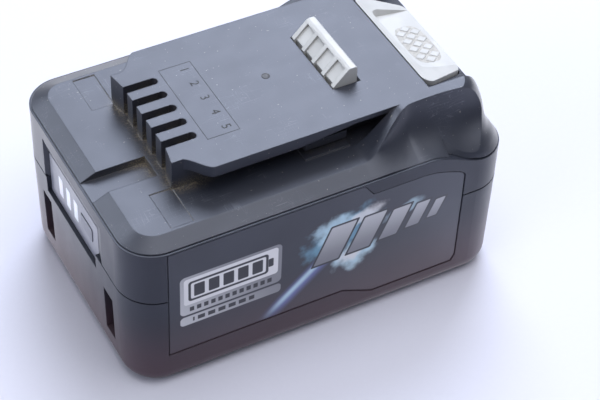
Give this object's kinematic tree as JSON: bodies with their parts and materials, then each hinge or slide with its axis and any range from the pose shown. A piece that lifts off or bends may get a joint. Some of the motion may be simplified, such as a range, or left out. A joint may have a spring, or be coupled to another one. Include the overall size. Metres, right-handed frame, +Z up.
{
  "type": "slide-on battery pack",
  "caption": "Slide-on lithium-ion tool battery pack with a grooved rail head, slotted contacts, a sprung release latch and a push-to-read charge gauge.",
  "frame": {"origin": "centre of the flat base, under the middle of the case outline", "axes": "+Z up out of the rail head, +X towards the release button, so the terminal end faces -X and the labelled long side faces -Y"},
  "size_m": [0.1214, 0.08, 0.0714],
  "materials": {
    "case_plastic": "satin, finely textured, moulded",
    "latch_plastic": "satin, finely textured, light grey",
    "label_film": "printed film, satin",
    "panel_film": "satin printed panel",
    "light_plastic": "clear milky plastic",
    "button_rubber": "matt soft button",
    "cell_wrap": "shrink sleeve",
    "holder_plastic": "matt, natural",
    "nickel": "thin strip, satin",
    "insulating_paper": "matt fibre sheet",
    "foam": "closed-cell foam",
    "board_laminate": "lacquered laminate",
    "component_resin": "moulded resin",
    "lamp_resin": "clear lamp bodies",
    "contact_metal": "bright sprung contact",
    "screw_steel": "dark plated",
    "spring_steel": "drawn wire",
    "lead_red": "soft insulation",
    "lead_black": "soft insulation",
    "cable_film": "thin flexible film"
  },
  "bodies": {
    "case": {"board_parts": "component_resin", "board_screws": "screw_steel", "case_screws": "screw_steel", "cell_1": "cell_wrap", "cell_10": "cell_wrap", "cell_2": "cell_wrap", "cell_3": "cell_wrap", "cell_4": "cell_wrap", "cell_5": "cell_wrap", "cell_6": "cell_wrap", "cell_7": "cell_wrap", "cell_8": "cell_wrap", "cell_9": "cell_wrap", "cell_frame_far": "holder_plastic", "cell_frame_near": "holder_plastic", "cell_links_far": "nickel", "cell_links_near": "nickel", "circuit_board": "board_laminate", "contact_1": "contact_metal", "contact_2": "contact_metal", "contact_3": "contact_metal", "contact_4": "contact_metal", "contact_5": "contact_metal", "floor_pad": "foam", "gauge_board": "board_laminate", "gauge_cable": "cable_film", "gauge_lamps": "lamp_resin", "gauge_panel": "panel_film", "gauge_switch": "component_resin", "insulator_far": "insulating_paper", "insulator_near": "insulating_paper", "latch_spring_far": "spring_steel", "latch_spring_near": "spring_steel", "latch_tray": "case_plastic", "lead_far": "lead_black", "lead_near": "lead_red", "light_bars": "light_plastic", "lower_case": "case_plastic", "middle_band": "case_plastic", "side_label": "label_film", "temperature_sensor": "component_resin", "terminal_block": "case_plastic", "top_cover": "case_plastic", "tray_screws": "screw_steel"},
    "latch": {"release_latch": "latch_plastic"},
    "push_button": {"gauge_button": "button_rubber"}
  },
  "joints": [
    {"name": "latch_press", "type": "slide", "parent": "case", "child": "latch", "axis": [0, 0, -1], "range_m": [0, 0.0052], "stiffness_N_per_m": 1200, "springref_m": -0.002, "deforming": ["latch_spring_near", "latch_spring_far"]},
    {"name": "gauge_press", "type": "slide", "parent": "case", "child": "push_button", "axis": [1, 0, 0], "range_m": [0, 0.0006], "stiffness_N_per_m": 1500, "springref_m": -0.0005}
  ]
}
